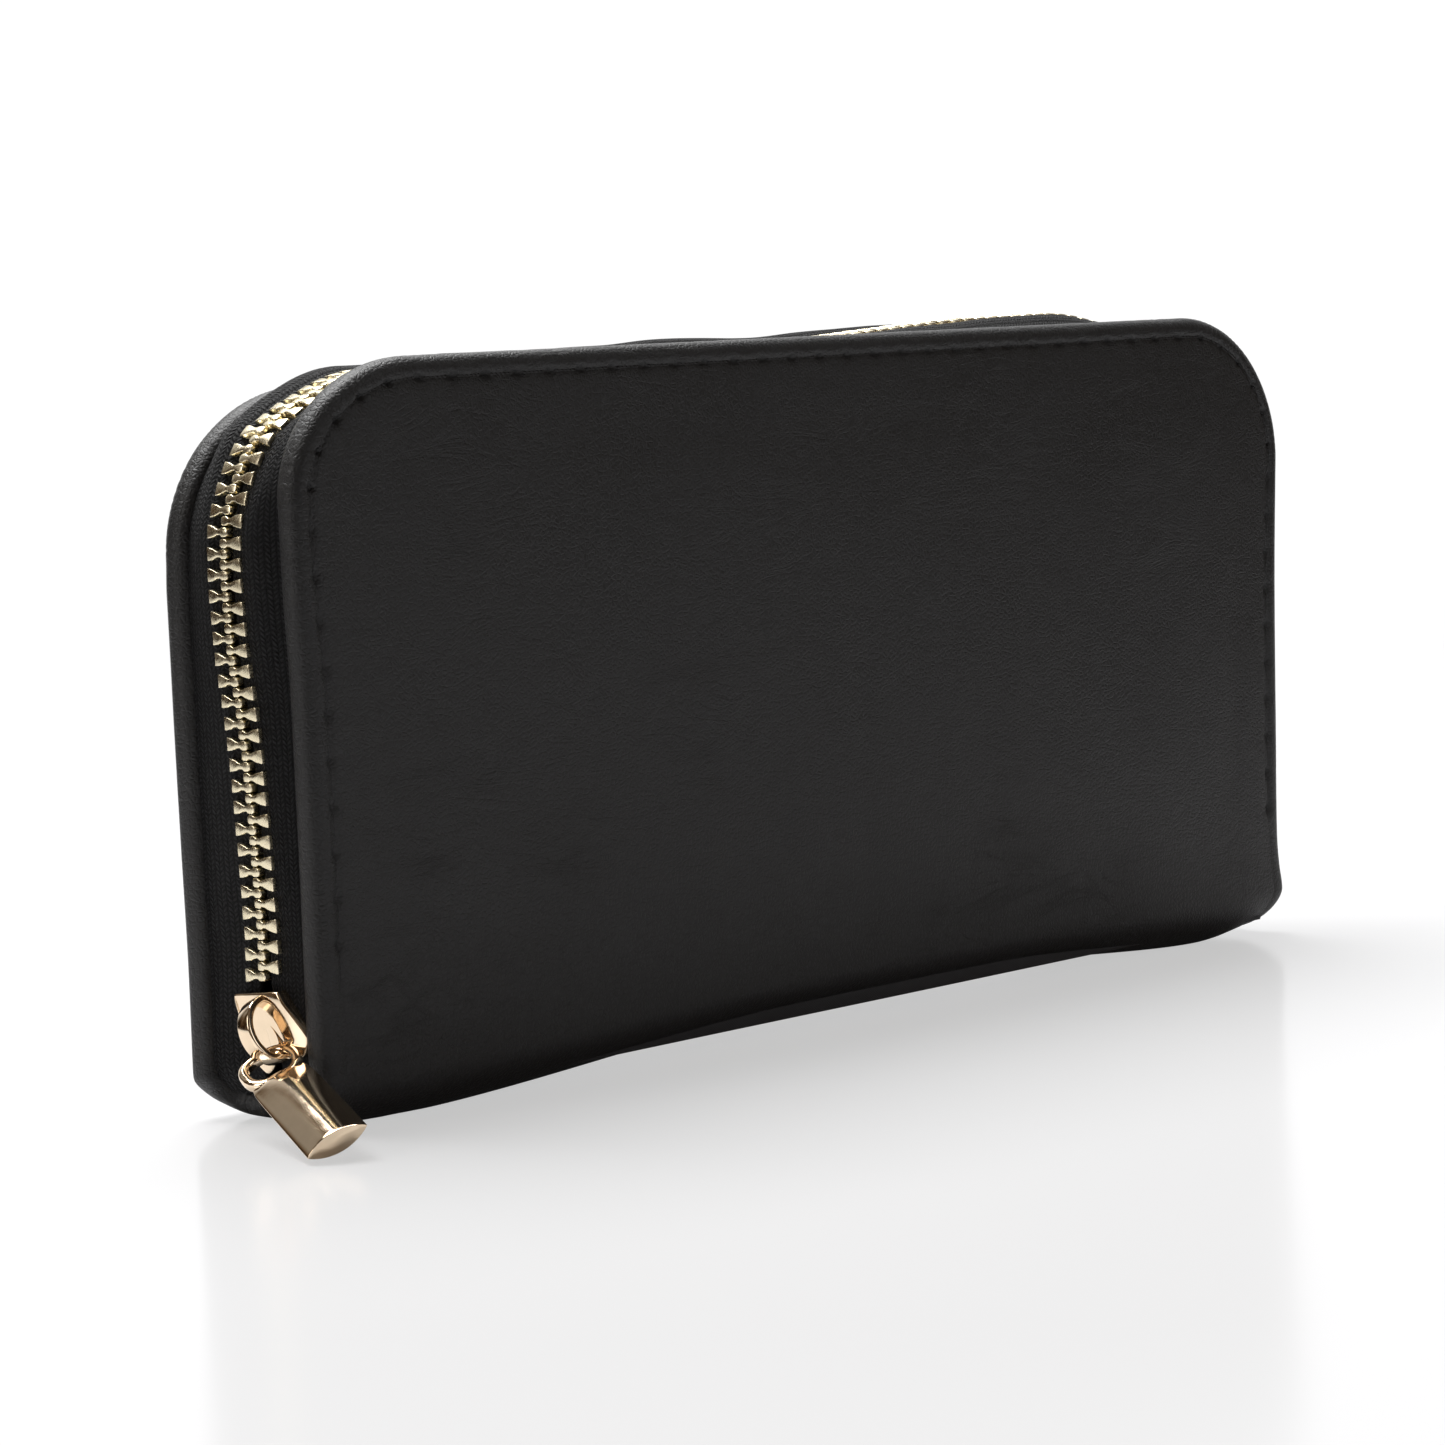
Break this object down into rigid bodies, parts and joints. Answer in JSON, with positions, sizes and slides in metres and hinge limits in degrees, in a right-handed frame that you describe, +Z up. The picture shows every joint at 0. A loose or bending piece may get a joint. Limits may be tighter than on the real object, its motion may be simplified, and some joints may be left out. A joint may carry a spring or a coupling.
{
  "type": "zip around wallet",
  "caption": "Long black leather wallet with a metal zip around three sides, gold puller, card tiers, bellows gussets and a zipped coin pocket inside.",
  "frame": {"origin": "middle of the flat underside of the spine", "axes": "+X along the length, -Y out of the front cover, +Z up from the spine"},
  "size_m": [0.2023, 0.0349, 0.0928],
  "materials": {
    "leather": "smooth coated leather, fine grain, semi matt",
    "card_leather": "smooth coated leather",
    "board": "matt fibre board",
    "lining": "woven polyester",
    "tape": "woven zip tape",
    "thread": "waxed thread",
    "teeth": "pale gold plated",
    "gold": "polished light gold plated"
  },
  "bodies": {
    "back": {"back_card_panel": "card_leather", "back_card_tier_1": "card_leather", "back_card_tier_2": "card_leather", "back_card_tier_3": "card_leather", "back_card_tier_4": "card_leather", "back_cover_board": "board", "back_cover_leather": "leather", "back_left_gusset": "lining", "back_lining": "lining", "back_right_gusset": "lining", "back_stitching": "thread", "back_zip_tape": "tape", "back_zip_teeth": "teeth", "spine_leather": "leather", "spine_lining": "lining"},
    "divider": {"coin_pocket_back_leaf": "lining", "coin_pocket_front_leaf": "lining", "coin_zip_back_tape": "tape", "coin_zip_back_teeth": "teeth", "coin_zip_front_tape": "tape", "coin_zip_front_teeth": "teeth"},
    "front": {"front_card_panel": "card_leather", "front_card_tier_1": "card_leather", "front_card_tier_2": "card_leather", "front_card_tier_3": "card_leather", "front_card_tier_4": "card_leather", "front_cover_board": "board", "front_cover_leather": "leather", "front_left_gusset": "lining", "front_lining": "lining", "front_right_gusset": "lining", "front_stitching": "thread", "front_zip_tape": "tape", "front_zip_teeth": "teeth"},
    "slider": {"zip_slider_body": "gold", "zip_slider_bridge": "gold"},
    "puller": {"zip_puller": "gold"},
    "coin_slider": {"coin_slider_body": "gold", "coin_slider_bridge": "gold"},
    "coin_puller": {"coin_puller": "gold"}
  },
  "joints": [
    {"name": "divider_hinge", "type": "hinge", "parent": "back", "child": "divider", "pos_m": [0, 0, 0.001], "axis": [1, 0, 0], "range_deg": [0, 20], "stiffness_Nm_per_rad": 0.05},
    {"name": "front_cover_hinge", "type": "hinge", "parent": "divider", "child": "front", "pos_m": [0, 0, 0.001], "axis": [1, 0, 0], "range_deg": [0, 20], "stiffness_Nm_per_rad": 0.05},
    {"name": "zip_slider_travel", "type": "slide", "parent": "back", "child": "slider", "axis": [-0.0309, 0.0428, 0.9986], "range_m": [0, 0.05], "deforming": ["front_zip_teeth", "back_zip_teeth", "front_zip_tape", "back_zip_tape"]},
    {"name": "zip_puller_swing", "type": "hinge", "parent": "slider", "child": "puller", "pos_m": [-0.0986, -0.00366, 0.01006], "axis": [-1, 0, 0], "range_deg": [0, 65]},
    {"name": "coin_slider_travel", "type": "slide", "parent": "divider", "child": "coin_slider", "axis": [1, 0, 0], "range_m": [0, 0.148], "deforming": ["coin_zip_front_teeth", "coin_zip_back_teeth"]},
    {"name": "coin_puller_swing", "type": "hinge", "parent": "coin_slider", "child": "coin_puller", "pos_m": [-0.076, 0, 0.07873], "axis": [0, -1, 0], "range_deg": [0, 150]}
  ],
  "couplings": [
    {"joint": "divider_hinge", "follows": "front_cover_hinge", "ratio": 1}
  ]
}
